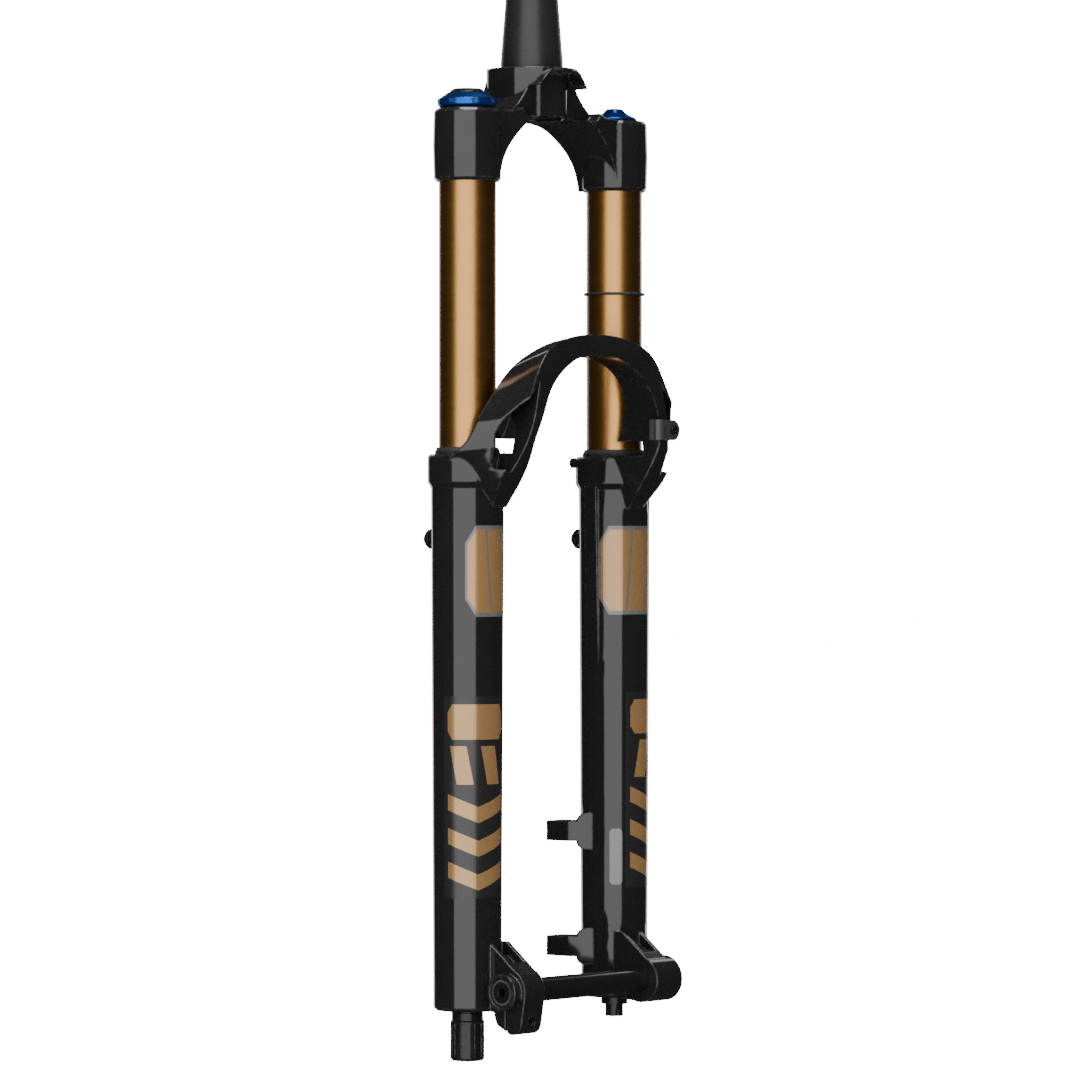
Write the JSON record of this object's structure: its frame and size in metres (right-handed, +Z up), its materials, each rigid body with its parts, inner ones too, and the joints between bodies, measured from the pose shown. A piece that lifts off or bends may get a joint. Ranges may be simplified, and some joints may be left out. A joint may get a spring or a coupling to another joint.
{
  "type": "suspension fork",
  "caption": "Single-crown telescopic suspension fork for a mountain bicycle, with a sprung leg, a damped leg, an arched casting and a through axle.",
  "frame": {"origin": "centre of the crown-race seat, on the steering axis", "axes": "+Z up along the steerer, -Y towards the front of the bicycle, +X to the rider's left"},
  "size_m": [0.1936, 0.0936, 0.8906],
  "materials": {
    "steerer_anodised": "satin dark anodised",
    "crown_gloss": "gloss black anodised forging",
    "casting_gloss": "gloss black painted casting",
    "gold_coat": "satin gold hard coat",
    "blue_anodised": "bright blue anodised",
    "black_anodised": "satin black anodised",
    "brass_fitting": "machined",
    "axle_anodised": "satin black anodised",
    "black_steel": "black oxide",
    "guide_plastic": "satin moulded",
    "seal_rubber": "matt",
    "foam": "open-cell foam, oiled",
    "bushing_liner": "coated bearing liner",
    "bare_aluminium": "machined",
    "shaft_chrome": "polished",
    "spacer_plastic": "moulded"
  },
  "bodies": {
    "upper": {"steerer_tube": "steerer_anodised", "crown": "crown_gloss", "stanchion_left": "gold_coat", "stanchion_right": "gold_coat", "damper_top_cap": "black_anodised", "damper_cartridge": "bare_aluminium", "compression_valve": "bare_aluminium", "damper_seal_head": "bare_aluminium", "air_top_cap": "black_anodised", "air_valve": "brass_fitting", "volume_spacer_1": "spacer_plastic", "volume_spacer_2": "spacer_plastic", "air_seal_head": "bare_aluminium", "topout_bumper": "seal_rubber"},
    "lowers": {"lower_legs": "casting_gloss", "damper_shaft": "shaft_chrome", "damper_piston": "bare_aluminium", "damper_foot_bolt": "black_anodised", "air_shaft": "shaft_chrome", "air_piston": "spacer_plastic", "air_foot_nut": "black_anodised", "pinch_screw": "black_steel", "hose_guide": "guide_plastic", "hose_guide_screw": "black_steel", "wiper_seal_left": "seal_rubber", "foam_ring_left": "foam", "upper_bushing_left": "bushing_liner", "lower_bushing_left": "bushing_liner", "wiper_seal_right": "seal_rubber", "foam_ring_right": "foam", "upper_bushing_right": "bushing_liner", "lower_bushing_right": "bushing_liner"},
    "travel_ring": {"travel_ring": "seal_rubber"},
    "compression_knob": {"compression_knob": "blue_anodised"},
    "compression_dial": {"compression_dial": "black_anodised"},
    "air_cap": {"air_cap": "blue_anodised"},
    "axle": {"axle": "axle_anodised"},
    "foot_cover": {"foot_cover": "black_anodised"},
    "rebound_adjuster": {"rebound_adjuster": "blue_anodised"},
    "bleeder_button_left": {"bleeder_button_left": "black_anodised"},
    "bleeder_button_right": {"bleeder_button_right": "black_anodised"}
  },
  "joints": [
    {"name": "fork_travel", "type": "slide", "parent": "upper", "child": "lowers", "axis": [0, 0, 1], "range_m": [0, 0.16], "stiffness_N_per_m": 5000},
    {"name": "travel_ring_slide", "type": "slide", "parent": "upper", "child": "travel_ring", "axis": [0, 0, 1], "range_m": [0, 0.0626]},
    {"name": "compression_knob_turn", "type": "hinge", "parent": "upper", "child": "compression_knob", "pos_m": [-0.0715, -0.0085, -0.023], "axis": [0, 0, 1], "range_deg": [-130, 130]},
    {"name": "compression_dial_turn", "type": "hinge", "parent": "upper", "child": "compression_dial", "pos_m": [-0.0715, -0.0085, -0.018], "axis": [0, 0, 1], "range_deg": [-170, 170]},
    {"name": "air_cap_lift", "type": "slide", "parent": "upper", "child": "air_cap", "axis": [0, 0, 1], "range_m": [0, 0.02]},
    {"name": "axle_withdraw", "type": "slide", "parent": "lowers", "child": "axle", "axis": [-1, 0, 0], "range_m": [0, 0.165]},
    {"name": "foot_cover_pull", "type": "slide", "parent": "lowers", "child": "foot_cover", "axis": [0, 0, -1], "range_m": [0, 0.04]},
    {"name": "rebound_turn", "type": "hinge", "parent": "lowers", "child": "rebound_adjuster", "pos_m": [-0.0715, -0.0085, -0.605], "axis": [0, 0, 1], "range_deg": [-170, 170]},
    {"name": "bleeder_press_left", "type": "slide", "parent": "lowers", "child": "bleeder_button_left", "axis": [0, -1, 0], "range_m": [0, 0.0014], "stiffness_N_per_m": 1500},
    {"name": "bleeder_press_right", "type": "slide", "parent": "lowers", "child": "bleeder_button_right", "axis": [0, -1, 0], "range_m": [0, 0.0014], "stiffness_N_per_m": 1500}
  ],
  "couplings": [
    {"joint": "travel_ring_slide", "follows": "fork_travel", "ratio": 0.39}
  ]
}
